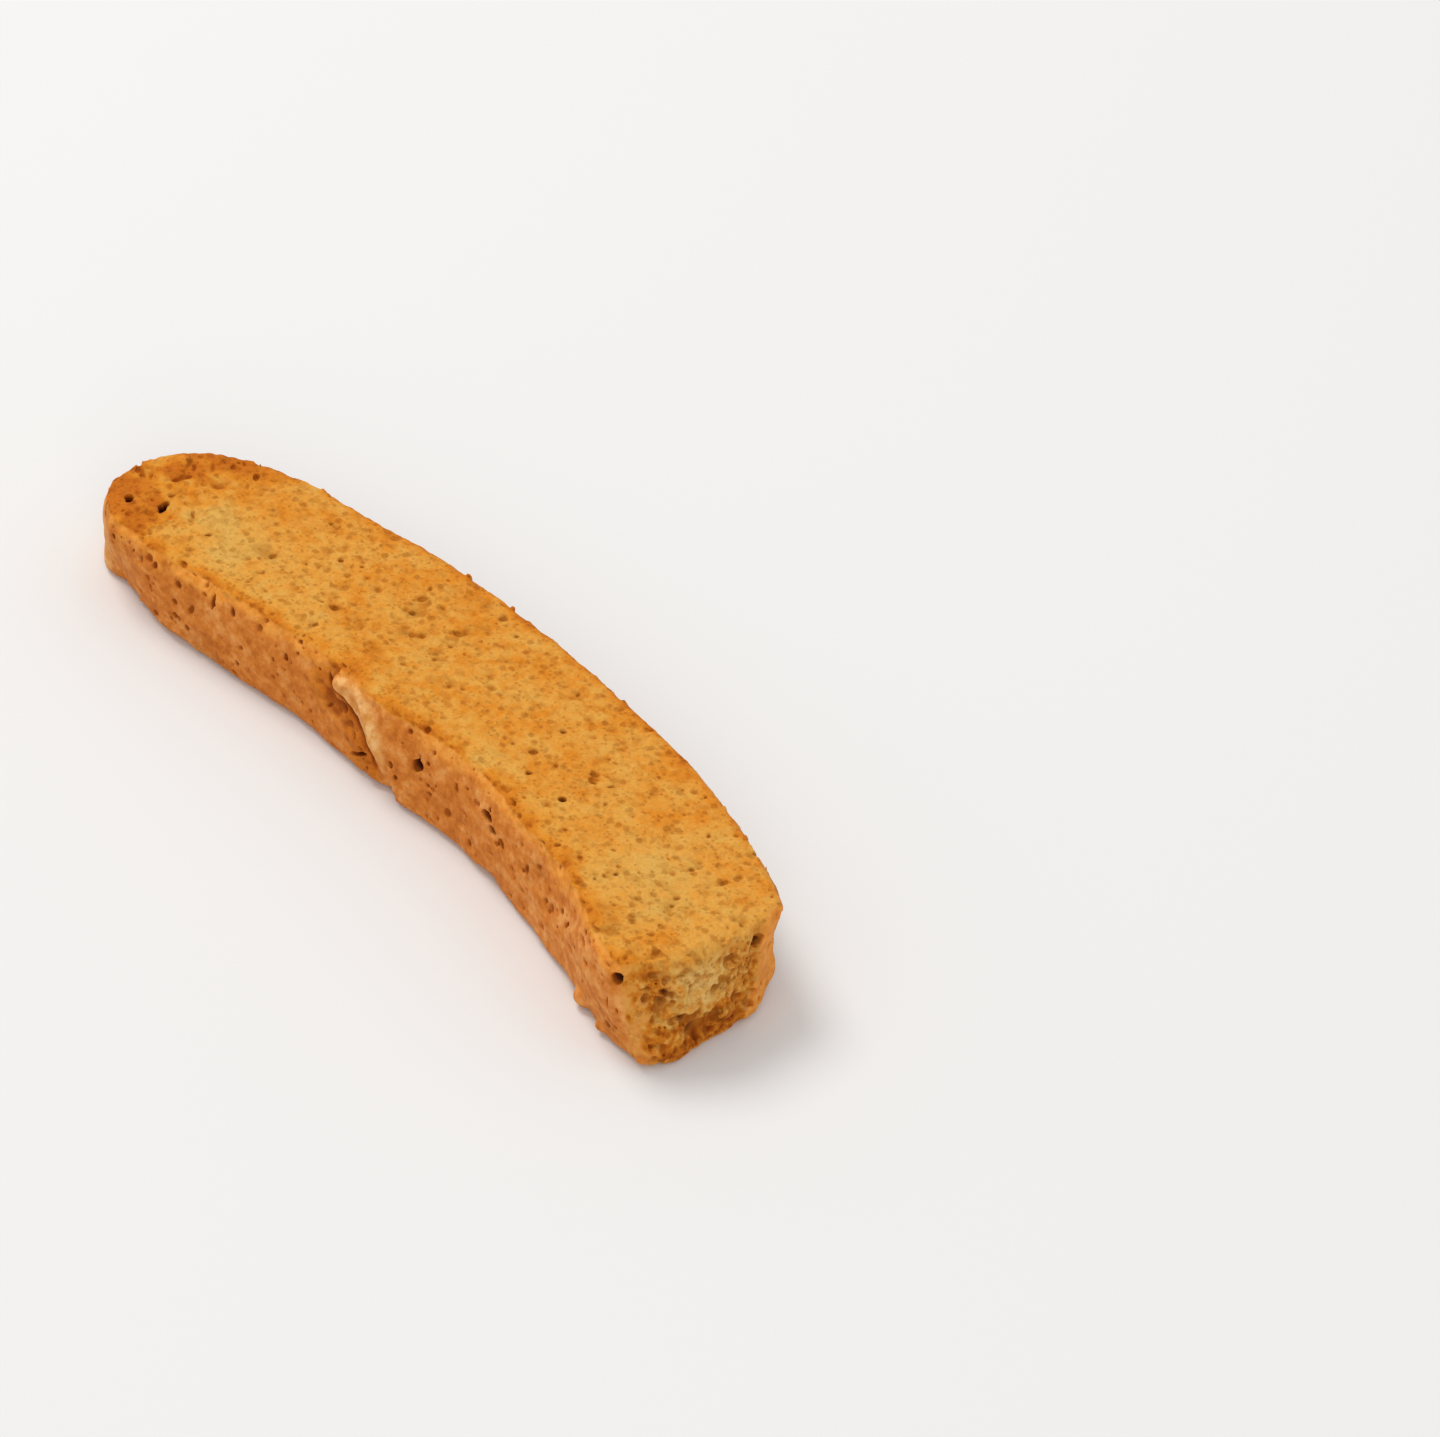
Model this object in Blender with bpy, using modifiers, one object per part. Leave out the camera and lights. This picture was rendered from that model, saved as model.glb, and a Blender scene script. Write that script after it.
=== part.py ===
"""A twice-baked rusk: one curved slice cut across a long loaf and toasted dry.

Metres, +Z up. The slice lies on one cut face, with its origin at the middle of
the base of its box. +X runs along the slice towards the torn end, and +Y across
it towards the domed crust that was the top of the loaf.
"""

import math

import bmesh
import bpy
from mathutils import Vector, noise

MM = 0.001

# Thickness, as the knife left it: a slight wedge, thicker towards the torn end.
THICKNESS_AT_MIDDLE = 17.4 * MM
THICKNESS_PER_METRE = 0.024
RIM_RADIUS = 0.8 * MM
RIM_SEGMENTS = 2
RIM_ANGLE = math.radians(50)

# Guide points of the two cut faces' outlines, in millimetres: x and y on the
# upper face, then x and y on the lower. They run clockwise seen from above.
BASE_CORNER = (-67.2, -15.6, -65.6, -11.4)
SIDE_CRUST = [
    (-73.4, -10.0, -72.6, -11.6),
    (-75.3, -4.0, -75.5, -4.4),
    (-72.6, 5.6, -73.0, 5.0),
    (-64.9, 12.9, -65.2, 12.6),
]
DOMED_CRUST = [
    (-56.6, 16.8, -56.8, 16.6),
    (-46.0, 18.7, -46.0, 18.5),
    (-26.0, 21.6, -26.0, 21.8),
    (-5.0, 22.7, -5.0, 23.0),
    (14.0, 21.7, 14.0, 21.9),
    (34.0, 19.8, 34.0, 19.8),
    (51.0, 16.0, 51.0, 16.2),
    (60.6, 12.7, 60.2, 13.3),
]
DOME_CORNER = (70.9, 8.0, 68.8, 9.4)
TORN_END = [
    (72.7, 0.0, 73.2, 1.5),
    (72.3, -9.4, 74.2, -8.5),
    (67.6, -18.0, 74.2, -16.4),
]
TORN_CORNER = (64.4, -22.0, 71.0, -20.4)
BASE_CRUST = [
    (60.4, -20.8, 62.4, -19.7),
    (50.0, -15.7, 50.0, -16.0),
    (41.0, -12.5, 41.0, -13.9),
    (31.0, -10.9, 32.0, -11.8),
    (21.0, -8.6, 21.5, -10.7),
    (8.0, -8.4, 8.0, -10.1),
    (-5.0, -9.6, -3.0, -10.5),
    (-23.0, -9.5, -23.0, -11.0),
    (-38.5, -11.8, -39.0, -12.9),
    (-54.0, -14.0, -54.0, -13.9),
]
CORNERS = (BASE_CORNER, DOME_CORNER, TORN_CORNER)
GUIDE = [BASE_CORNER, *SIDE_CRUST, *DOMED_CRUST, DOME_CORNER, *TORN_END, TORN_CORNER, *BASE_CRUST]
CURVE_STEPS = 9

# The walls between the two cut faces.
WALL_RINGS = 8
CRUST_SWELL = 0.8 * MM
TORN_FROM = 62 * MM
TORN_FULL = 69 * MM
TORN_RELIEF = 0.9 * MM
TORN_GRAIN = 4.5 * MM
CRUST_RELIEF = 0.35 * MM
CRUST_GRAIN = 9 * MM

# The crease in the base crust, where the dough folded against the tin.
CREASE_TOP = -12.5 * MM
CREASE_FOOT = 1.0 * MM
CREASE_REACH = 34 * MM
CREASE_DEPTH = 1.1 * MM
CREASE_HALF_WIDTH = 1.8 * MM
CREASE_STEP = 0.9 * MM
CREASE_FADE = 16 * MM
CREASE_ENDS = 0.78  # of the height; above it the base crust is whole

RUSK_COLOUR = (0.68, 0.31, 0.07, 1.0)
RUSK_ROUGHNESS = 0.85


def thickness(x):
    """Height of the upper cut face above the lower one."""
    return THICKNESS_AT_MIDDLE + THICKNESS_PER_METRE * x


def smooth_step(low, high, value):
    share = min(max((value - low) / (high - low), 0.0), 1.0)
    return share * share * (3 - 2 * share)


def crumb_material():
    material = bpy.data.materials.new("toasted crumb and crust")
    material.use_nodes = True
    shader = material.node_tree.nodes["Principled BSDF"]
    shader.inputs["Base Color"].default_value = RUSK_COLOUR
    shader.inputs["Roughness"].default_value = RUSK_ROUGHNESS
    shader.inputs["Metallic"].default_value = 0.0
    material.diffuse_color = RUSK_COLOUR
    return material


def face_outline(first):
    """Points along one cut face's edge, smooth between its three corners.

    first is 0 for the upper face's guide points and 2 for the lower face's.
    """
    curve = bpy.data.curves.new("cut face edge", "CURVE")
    curve.dimensions = "2D"
    curve.fill_mode = "NONE"
    curve.resolution_u = CURVE_STEPS
    spline = curve.splines.new("BEZIER")
    spline.bezier_points.add(len(GUIDE) - 1)
    spline.use_cyclic_u = True
    for point, guide in zip(spline.bezier_points, GUIDE):
        point.co = (guide[first] * MM, guide[first + 1] * MM, 0)
        point.handle_left_type = "VECTOR" if guide in CORNERS else "AUTO"
        point.handle_right_type = point.handle_left_type
    edge = bpy.data.objects.new("cut face edge", curve)
    bpy.context.scene.collection.objects.link(edge)
    bpy.context.view_layer.update()
    evaluated = edge.evaluated_get(bpy.context.evaluated_depsgraph_get())
    mesh = bpy.data.meshes.new_from_object(evaluated)
    points = [vert.co.copy() for vert in mesh.vertices]
    bpy.data.objects.remove(edge)
    bpy.data.meshes.remove(mesh)
    return points


def creased(points, height):
    """The ring with its base crust slid along to follow the slanting crease."""
    lean = (CREASE_FOOT - CREASE_TOP) * (0.5 - height)
    middle = (CREASE_FOOT + CREASE_TOP) / 2
    slid = []
    for index, point in enumerate(points):
        near = 1 - abs(point.x - middle) / CREASE_REACH
        if point.y > 0 or near <= 0:
            slid.append(point)
            continue
        shift = lean * smooth_step(0, 1, near)
        towards = points[index - 1] if shift > 0 else points[(index + 1) % len(points)]
        run = (towards - point).normalized()
        slid.append(point + run * abs(shift))
    return slid


def wall_step(point, height):
    """How far the wall stands out from the straight line between the two edges."""
    torn = smooth_step(TORN_FROM, TORN_FULL, point.x)
    belly = math.sin(math.pi * height)
    step = CRUST_SWELL * belly * (1 - torn)
    grain = noise.noise(point / CRUST_GRAIN) * CRUST_RELIEF * (1 - torn)
    grain += noise.noise(point / TORN_GRAIN + Vector((7, 3, 1))) * TORN_RELIEF * torn
    step += grain * min(1, 3 * belly)
    if point.y < 0:
        crease = CREASE_FOOT + (CREASE_TOP - CREASE_FOOT) * height
        past = point.x - crease
        open_share = 1 - smooth_step(CREASE_ENDS, 1, height)
        groove = CREASE_DEPTH * math.exp(-((past / CREASE_HALF_WIDTH) ** 2))
        ledge = smooth_step(0, 2 * CREASE_HALF_WIDTH, past)
        ledge *= 1 - smooth_step(0, CREASE_FADE, past)
        step += (CREASE_STEP * ledge - groove) * open_share
    return step


def ring_at(upper, lower, height):
    """The slice's outline at a height from 0, the lower face, to 1, the upper."""
    flat = [foot.lerp(head, height) for head, foot in zip(upper, lower)]
    flat = creased(flat, height)
    ring = []
    for index, point in enumerate(flat):
        along = flat[(index + 1) % len(flat)] - flat[index - 1]
        outward = Vector((-along.y, along.x, 0)).normalized()
        place = Vector((point.x, point.y, height * thickness(point.x)))
        moved = place + outward * wall_step(place, height)
        moved.z = height * thickness(moved.x)
        ring.append(moved)
    return ring


def centred(rings):
    """The rings moved so that their box has its middle on the origin."""
    everywhere = [point for ring in rings for point in ring]
    spans = [[point[axis] for point in everywhere] for axis in (0, 1)]
    middle = Vector(((min(spans[0]) + max(spans[0])) / 2, (min(spans[1]) + max(spans[1])) / 2, 0))
    return [[point - middle for point in ring] for ring in rings]


def loft(rings):
    """A closed mesh through the rings, with a flat cut face at each end."""
    shape = bmesh.new()
    rows = [[shape.verts.new(point) for point in ring] for ring in rings]
    count = len(rows[0])
    for low, high in zip(rows, rows[1:]):
        for index in range(count):
            after = (index + 1) % count
            shape.faces.new((low[index], low[after], high[after], high[index]))
    shape.faces.new(rows[0])
    shape.faces.new(rows[-1])
    bmesh.ops.recalc_face_normals(shape, faces=shape.faces)
    mesh = bpy.data.meshes.new("rusk")
    shape.to_mesh(mesh)
    shape.free()
    return mesh


def make_rusk(collection):
    upper = face_outline(0)
    lower = face_outline(2)
    rings = [ring_at(upper, lower, step / WALL_RINGS) for step in range(WALL_RINGS + 1)]
    mesh = loft(centred(rings))
    mesh.materials.append(crumb_material())
    rusk = bpy.data.objects.new("rusk", mesh)
    collection.objects.link(rusk)
    rim = rusk.modifiers.new("crumbled rim", "BEVEL")
    rim.width = RIM_RADIUS
    rim.segments = RIM_SEGMENTS
    rim.limit_method = "ANGLE"
    rim.angle_limit = RIM_ANGLE
    mesh.shade_smooth()
    mesh.set_sharp_from_angle(angle=RIM_ANGLE)
    return rusk


def main():
    for old in list(bpy.data.objects):
        bpy.data.objects.remove(old)
    collection = bpy.data.collections.new("rusk")
    bpy.context.scene.collection.children.link(collection)
    make_rusk(collection)


main()
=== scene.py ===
"""The looks of a twice-baked rusk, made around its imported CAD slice.

The slice is worked out as a field of distances, in millimetres, on a fine block of points. The CAD slice
gives its skin. Pores, holes, slits, a torn end and a creased crust are cut into that field, which is then
turned into one closed mesh that stands for the CAD slice. Its material reads how far each point lies under
the uncut skin, how much of it is crust and how brown it was toasted.
"""

import math

import bmesh
import bpy
import numpy as np
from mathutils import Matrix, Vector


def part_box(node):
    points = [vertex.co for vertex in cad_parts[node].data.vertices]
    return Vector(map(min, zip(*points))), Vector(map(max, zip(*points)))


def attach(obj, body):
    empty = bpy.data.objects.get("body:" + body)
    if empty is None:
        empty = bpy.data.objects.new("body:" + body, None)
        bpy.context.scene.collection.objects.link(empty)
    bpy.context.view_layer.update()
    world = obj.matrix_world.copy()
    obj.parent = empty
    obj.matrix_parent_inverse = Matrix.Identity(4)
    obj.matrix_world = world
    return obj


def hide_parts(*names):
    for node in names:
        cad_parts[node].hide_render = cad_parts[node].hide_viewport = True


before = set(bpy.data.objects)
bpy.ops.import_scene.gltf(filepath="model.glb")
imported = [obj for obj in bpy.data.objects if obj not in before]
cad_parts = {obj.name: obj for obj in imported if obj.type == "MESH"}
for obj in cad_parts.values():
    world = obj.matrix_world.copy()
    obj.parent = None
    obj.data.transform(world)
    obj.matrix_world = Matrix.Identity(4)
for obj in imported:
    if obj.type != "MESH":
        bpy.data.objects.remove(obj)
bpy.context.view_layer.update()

import openvdb
from bpy.props import FloatProperty, FloatVectorProperty, IntProperty, PointerProperty
from mathutils import Matrix, Vector

bl_info = {
    "name": "Twice-baked rusk",
    "version": (1, 0, 0),
    "blender": (4, 5, 0),
    "location": "3D View > Sidebar > Rusk",
    "description": "Models the porous toasted crumb and the browned crust of a rusk on its CAD slice",
    "category": "Object",
}

NODE = "rusk"
BODY = "root"

MM = 0.001
PER_M = 1000.0


def linear(hex_colour):
    """An sRGB hex colour as linear red, green, blue and an alpha of 1."""
    parts = [int(hex_colour[at : at + 2], 16) / 255 for at in (0, 2, 4)]
    return tuple(p / 12.92 if p <= 0.04045 else ((p + 0.055) / 1.055) ** 2.4 for p in parts) + (1.0,)


def ease(low, high, value):
    """Goes gently from 0 at low to 1 at high."""
    share = np.clip((value - low) / (high - low), 0.0, 1.0)
    return share * share * (3 - 2 * share)


# Fields of distance, in millimetres

STEP = 0.24  # between the block's points
MARGIN = 1.6
REACH = 3.6  # how far from the skin the distances are true
MOST_TRIANGLES = 196000
BLEND = 0.16  # how round the lip of a hollow is
LUMPS = {  # width and seed
    "fine": (1.1, 10),
    "wide": (6.0, 11),
    "middling": (2.6, 12),
    "chips": (4.0, 13),
    "small": (1.5, 14),
    "blotches": (3.0, 15),
    "specks": (1.3, 16),
    "ragged": (4.0, 17),
    "crowds": (9.0, 21),
}


class Block:
    """Evenly spaced points that hold the slice, in millimetres."""

    def __init__(self, low, high, step):
        self.step = step
        self.first = np.floor((np.asarray(low) - MARGIN) / step).astype(int)
        last = np.ceil((np.asarray(high) + MARGIN) / step).astype(int)
        self.count = last - self.first + 1
        self.low = self.first * step
        self.axes = [self.low[i] + step * np.arange(self.count[i]) for i in range(3)]
        x, y, z = (axis.astype(np.float32) for axis in self.axes)
        self.x, self.y, self.z = x[:, None, None], y[None, :, None], z[None, None, :]

    def distances(self, points, reach=REACH, **faces):
        """Signed distance to a closed mesh at every point, negative inside."""
        grid = openvdb.FloatGrid.createLevelSetFromPolygons(
            points.astype(np.float32),
            transform=openvdb.createLinearTransform(self.step),
            halfWidth=reach / self.step,
            **{kind: corners.astype(np.uint32) for kind, corners in faces.items()},
        )
        field = np.empty(self.count, np.float32)
        grid.copyToArray(field, ijk=tuple(int(i) for i in self.first))
        return field

    def surface(self, field, level=0.0):
        """Points and four-sided faces of the surface where the field has that value."""
        grid = openvdb.FloatGrid(REACH)
        grid.copyFromArray(np.clip(field, -REACH, REACH), ijk=tuple(int(i) for i in self.first))
        grid.transform = openvdb.createLinearTransform(self.step)
        return grid.convertToQuads(level)

    def lumps(self, kind):
        """Smooth random lumps of that kind's width everywhere, mostly from -1 to 1."""
        width, seed = LUMPS[kind]
        spans = self.count * self.step
        lattice = np.random.default_rng(seed).uniform(-1, 1, (spans / width).astype(int) + 5)
        lattice = lattice.astype(np.float32)
        for axis in range(3):
            at = (self.axes[axis] - self.low[axis]) / width + 1
            whole = np.floor(at).astype(int)
            t = (at - whole).astype(np.float32)
            shares = ((1 - t) ** 3, 3 * t**3 - 6 * t**2 + 4, -3 * t**3 + 3 * t**2 + 3 * t + 1, t**3)
            weights = np.zeros((len(at), lattice.shape[axis]), np.float32)
            for offset, share in enumerate(shares):
                weights[np.arange(len(at)), whole - 1 + offset] += share / 6
            lattice = np.moveaxis(np.tensordot(weights, lattice, (1, axis)), 0, axis)
        return np.ascontiguousarray(lattice * (0.5 / lattice.std()))

    def sample(self, field, places):
        """The field between its points, at places in millimetres."""
        at = (np.asarray(places) - self.low) / self.step
        at = np.clip(at, 0, self.count - 1.001)
        whole = at.astype(int)
        share = at - whole
        total = np.zeros(len(at))
        for corner in np.ndindex(2, 2, 2):
            index = whole + corner
            weight = np.prod(np.where(corner, share, 1 - share), axis=1)
            total += weight * field[index[:, 0], index[:, 1], index[:, 2]]
        return total

    def ceiling(self, field, x, y):
        """Heights of the field's uppermost surface over those places."""
        across = np.rint((np.atleast_1d(x) - self.low[0]) / self.step).astype(int)
        along = np.rint((np.atleast_1d(y) - self.low[1]) / self.step).astype(int)
        columns = field[across, along]
        last = columns.shape[1] - 2 - np.argmax(columns[:, -2::-1] < 0, axis=1)
        rows = np.arange(len(last))
        below, above = columns[rows, last], columns[rows, last + 1]
        return self.low[2] + (last + below / (below - above)) * self.step

    def near(self, centre, reach):
        """Slices of the block's points within reach of a place."""
        low = np.maximum(np.floor((centre - reach - self.low) / self.step).astype(int), 0)
        high = np.minimum(np.ceil((centre + reach - self.low) / self.step).astype(int) + 1, self.count)
        return tuple(slice(a, max(a, b)) for a, b in zip(low, high))


def blended_max(a, b, width):
    gap = np.maximum(width - np.abs(a - b), 0) / width
    return np.maximum(a, b) + gap * gap * width / 4


def facing(outward, lean=0.0):
    """A hollow's own axes as rows: across, along and outward, leaned about the last."""
    out = Vector(outward).normalized()
    across = Vector((0, 0, 1)).cross(out)
    across = across.normalized() if across.length > 0.01 else Vector((1, 0, 0))
    along = out.cross(across)
    cosine, sine = math.cos(lean), math.sin(lean)
    return across * cosine + along * sine, along * cosine - across * sine, out


def bubble(block, rough, place, radii, turn, uneven, window):
    """Distance from a bubble's uneven wall at the window's points, negative in the bubble."""
    x = block.x[window[0]] - place[0]
    y = block.y[:, window[1]] - place[1]
    z = block.z[:, :, window[2]] - place[2]
    parts = [(axis[0] * x + axis[1] * y + axis[2] * z) / radius for axis, radius in zip(turn, radii)]
    length = np.sqrt(parts[0] ** 2 + parts[1] ** 2 + parts[2] ** 2)
    return (length - 1) * min(radii) + uneven * rough[window]


def hollow(block, field, rough, place, radii, turn, uneven=0.12, blend=BLEND):
    """Takes a bubble out of the field."""
    window = block.near(np.asarray(place), max(radii) + 2 * blend)
    wall = bubble(block, rough, place, radii, turn, uneven, window)
    field[window] = blended_max(field[window], -wall, blend)


def bead(block, field, rough, place, radii, turn, uneven=0.1, blend=0.5):
    """Adds a rounded bead of dough to the field."""
    window = block.near(np.asarray(place), max(radii) + 2 * blend)
    wall = bubble(block, rough, place, radii, turn, uneven, window)
    field[window] = -blended_max(-field[window], -wall, blend)


def groove(distance, depth, middle, half_width):
    """Depth of a round-bottomed groove at that distance, with its middle at another."""
    return depth * np.exp(-(((distance - middle) / half_width) ** 2))


def rare(rng, least, more, rarity):
    """A random size, up to that much more than the least, and the larger the rarer."""
    return least + more * rng.random() ** rarity


def lumpy(heights, lumps):
    """The lumps added up, each at its own height."""
    return sum(height * lump for height, lump in zip(heights, lumps))


# The slice. Unless a comment says otherwise, a pair is where something starts and where it is in full.

UP = (0, 0, 1)
NEAR = (0, -1, 0)
END = (1, 0, 0)
LEVEL = 0.999  # upward part of a level face's direction, at least
MOST_SLOPE = 0.4  # upward part of a wall's, at most
RIM_ROUND = 1.2  # radius of the slice's edges
BROKEN_ROUND = 3.3  # radius of the edges that are broken
CORNER_BROKEN = (56, 66)  # along the slice, the torn end's near corner
CORNER_ACROSS = (0, 5)  # across the slice, where that ends
SIDE_BROKEN = 0.6  # share, of the near edge beside the rounded end
SIDE_FROM = (-15, -45)  # where that starts, along the slice,
SIDE_TO = (-74, -66)  # and where it ends
SIDE_ACROSS = (4, -4)
BROKEN_ABOVE = (4, 9)  # heights
WALL_STRETCH = 1.6  # the slice is made this much taller to measure from its walls alone
DOME_CORNER = (70.9, 8.0)  # where the dome meets the torn end: along and across
DOME_WIDENS = 0.456  # how fast the dome moves outward from there
LIP_TOP = 4.2  # width of the strip of dome crust that edges the torn end, at the upper face
LIP_FOOT = 8.0  # and at the foot
LIP_RAGGED = 0.9  # how far the strip's edge wanders
LIP_SOFT = 0.6  # half the width over which the strip ends
LIP_FURROW = (1.0, 1.3, 0.8)  # beside it: share, how far past its edge and half width
LIP_PROUD = 0.3  # how far the strip stands out
LIP_FROM = (64, 68)  # where that starts, along the slice
SWELL = 0.12  # how far the crumb stands out before it is worn and pitted
FOOT_LIFT = 0.15  # how far the lower face is drawn in
FOOT_HEIGHT = 3  # above which the slice has its full swell
HEEL = (-58, -70)  # along the slice, where its rounded end leans out
HEEL_TOP = 0.55  # how far it leans out at the upper face
HEEL_TOP_ABOVE = (7, 15)
HEEL_FOOT = 0.7  # how far it draws in at the foot
HEEL_FOOT_BELOW = (11, 4)

# How high the lumps of each kind of surface stand: wide, middling, small and fine ones.
CUT_LUMPS = (0.12, 0.08, 0.10, 0.07)
CRUST_LUMPS = (0.24, 0.12, 0.13, 0.07)
TORN_LUMPS = (0.0, 0.45, 0.30, 0.18)
TORN_SINK = 0.2  # how far the torn crumb lies under the skin
FURROW_DEPTH = 0.45  # and how much further beside the strip of dome crust
TORN_ALONG = (60, 66)  # along the slice, where its wall is torn crumb
TORN_STEEP = (0.25, 1.0)  # how squarely the wall there has to face the end
RAGGED = 0.20  # depth of the wear along the edges
RAGGED_MORE = 0.18  # and how much more of it there is towards the rounded end
RAGGED_ALONG = (-5, -45)
RAGGED_REACH = 1.3
CHIP_REACH = 1.8  # chips out of the edges reach this far in
CHIP_DEPTH = 1.1
CHIP_RARE = 0.5  # lumps under this height leave no chip
WRINKLED = (-50, -62)  # along the slice
WRINKLE_RELIEF = 0.42
WRINKLES = 70  # creases tried on the rounded end
WRINKLE_SPREAD = 16  # how far from its tip they lie
WRINKLE_SIZES = [(0.5, 1.6), (0.22, 0.42), (0.2, 0.5)]  # half length, half width and depth
WRINKLE_CLEAR = 2.4  # how far they stay from the larger holes

# The pale fold and the cracks under it, as depth, distance from the fold's edge and half width
FOLD_PROUD = 0.8
CRACK = (1.1, 0.3, 0.38)
SECOND_CRACK = (0.5, 1.9, 0.7)
BROW = (0.2, 2.2, 1.6)  # the swelling of the crust above it, with its height first
CRUMPLED = 8  # how far below the fold the crust is crumpled
CRUMPLE_RELIEF = 0.45
RECESS = 0.15  # how far it is drawn in there

# Crumbs tried along the edges, torn cells and pits: number on a square millimetre, and radius as its
# least, how much more at most and how rare that is
CRUMBS_PER_MM2 = 0.9
CRUMB_RADIUS = (0.18, 0.3, 2.5)
TORN_CELLS_PER_MM2 = 2.0
TORN_CELL_RADIUS = (0.3, 0.5, 2)
PITS_PER_MM2 = 0.22
PIT_RADIUS = (0.22, 0.42, 2)
PIT_STRETCH = (1, 2.0, 3)
PIT_SHARE = 0.6  # of the pits tried that are kept
PIT_SHARE_NEAR_END = 0.45
ENDWARD = 0.6  # part of a wall's direction along the slice, at least, that makes it the end's
END_FROM = 62  # along the slice, where the torn end starts
TORN_CORNER_CLEAR = -19.5  # across the slice, beyond which its near corner has no cells

# Bubbles that the knife opened on the cut faces: number on a square millimetre, least and greatest
# radius, least and greatest depth, and how stretched they are.
CUT_CELLS = [
    (0.36, 0.45, 1.15, 0.08, 0.26, 1.6),
    (0.13, 0.28, 0.52, 0.16, 0.46, 2.0),
    (0.006, 0.5, 0.9, 0.3, 0.6, 1.6),
]
CELLS_CLEAR = 0.8  # how far they stay from the walls
CELLS_KEPT = 0.78  # share that is kept
CROWDING = 0.25  # how much that changes from place to place
CELLS_UNEVEN = 0.35
TOP_HOLES = [  # on the upper cut face: along, across, radius and depth
    (-67.9, -10.9, 0.8, 3.2),
    (-67.3, -11.4, 0.6, 2.6),
    (-63.2, -7.6, 0.75, 3.0),
    (-62.4, -8.3, 0.6, 2.8),
    (-63.6, -6.5, 0.4, 1.6),
    (-34.8, 7.1, 0.55, 0.8),
    (-31.3, 8.7, 0.5, 0.8),
    (20.3, 7.2, 0.55, 1.2),
    (32.4, -3.6, 0.65, 1.7),
]
CRUST_HOLES = [  # in the base crust: along, height, half width, half height, depth and lean
    (6.6, 10.6, 1.2, 1.05, 3.0, 0.4),
    (24.0, 12.5, 1.6, 0.9, 3.2, 0.0),
    (25.9, 11.2, 1.1, 0.8, 2.8, 0.3),
    (66.3, 15.6, 0.95, 1.1, 2.4, 0.2),
    (-41.9, 13.1, 0.45, 1.7, 1.0, 0.0),
    (-49.5, 12.1, 0.7, 0.7, 0.8, 0.3),
    (-55.0, 12.9, 0.5, 0.7, 0.6, 0.0),
    (-58.3, 12.0, 0.5, 0.6, 0.6, 0.2),
    (-46.3, 8.9, 0.45, 1.0, 0.7, -0.3),
    (-37.8, 13.5, 0.5, 0.9, 0.8, 0.4),
    (-50.0, 8.4, 0.6, 0.5, 0.6, 0.0),
    (-46.9, 4.7, 0.6, 0.6, 0.8, 0.0),
    (64.9, 9.7, 0.3, 1.6, 1.0, 0.0),
    (67.2, 9.5, 0.4, 0.6, 0.9, 0.1),
    (64.2, 17.0, 0.5, 0.4, 0.7, 0.0),
    (56.3, 16.3, 0.5, 0.45, 0.7, 0.0),
    (-35.5, 4.3, 0.45, 0.5, 0.8, 0.0),
    (-28.0, 9.7, 0.45, 0.45, 0.7, 0.0),
    (-31.0, 15.4, 0.5, 0.4, 0.6, 0.0),
    (-23.4, 15.6, 0.6, 0.35, 0.8, 0.3),
    (-23.3, 13.7, 0.4, 0.4, 0.6, 0.0),
    (38.6, 13.3, 0.5, 0.45, 0.7, 0.0),
    (44.2, 9.5, 0.45, 0.4, 0.7, 0.0),
    (50.8, 15.1, 0.35, 0.35, 0.6, 0.0),
    (49.7, 11.7, 0.4, 0.4, 0.6, 0.0),
    (-15.6, 13.4, 0.3, 1.1, 1.2, 0.5),
    (-11.2, 10.5, 1.2, 0.32, 1.1, -0.5),
    (-7.6, 7.2, 1.1, 0.3, 1.1, -0.6),
    (-6.8, 3.9, 2.3, 0.42, 1.7, 0.55),
    (-14.5, 8.8, 1.0, 0.3, 0.7, 0.9),
]
TORN_HOLES = [  # in the torn end: across, height, radius and depth
    (1.2, 14.8, 0.85, 2.6),
    (-5.0, 11.4, 0.55, 1.3),
    (-15.1, 11.0, 0.55, 1.4),
    (-16.1, 12.7, 0.5, 1.3),
    (-13.5, 7.7, 0.65, 1.4),
]
FOOT_BEADS = [(56.3, 2.1, 2.1), (62.4, 1.6, 1.1), (-64.0, 2.0, 1.2)]  # along, height, radius

# The pale band of dough that folded over in the base crust, from its rounded upper end to the foot: along,
# height and half width.
FOLD = [
    (-13.4, 13.8, 1.4),
    (-11.0, 14.2, 2.0),
    (-8.4, 13.6, 2.6),
    (-6.3, 12.6, 2.9),
    (-4.5, 10.8, 2.8),
    (-3.1, 8.9, 2.5),
    (-2.0, 6.8, 2.2),
    (-1.0, 4.6, 1.9),
    (-0.2, 2.2, 1.4),
    (0.5, -0.6, 1.0),
]
PALE_TOP = [(-60, -2.0, 6), (-47, -3, 9), (-30, -5, 6), (53, -4, 8), (64, -5, 7)]  # and radius
PALE_END = (-10.5, 13.0, 5.0)  # across, height, radius


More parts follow.
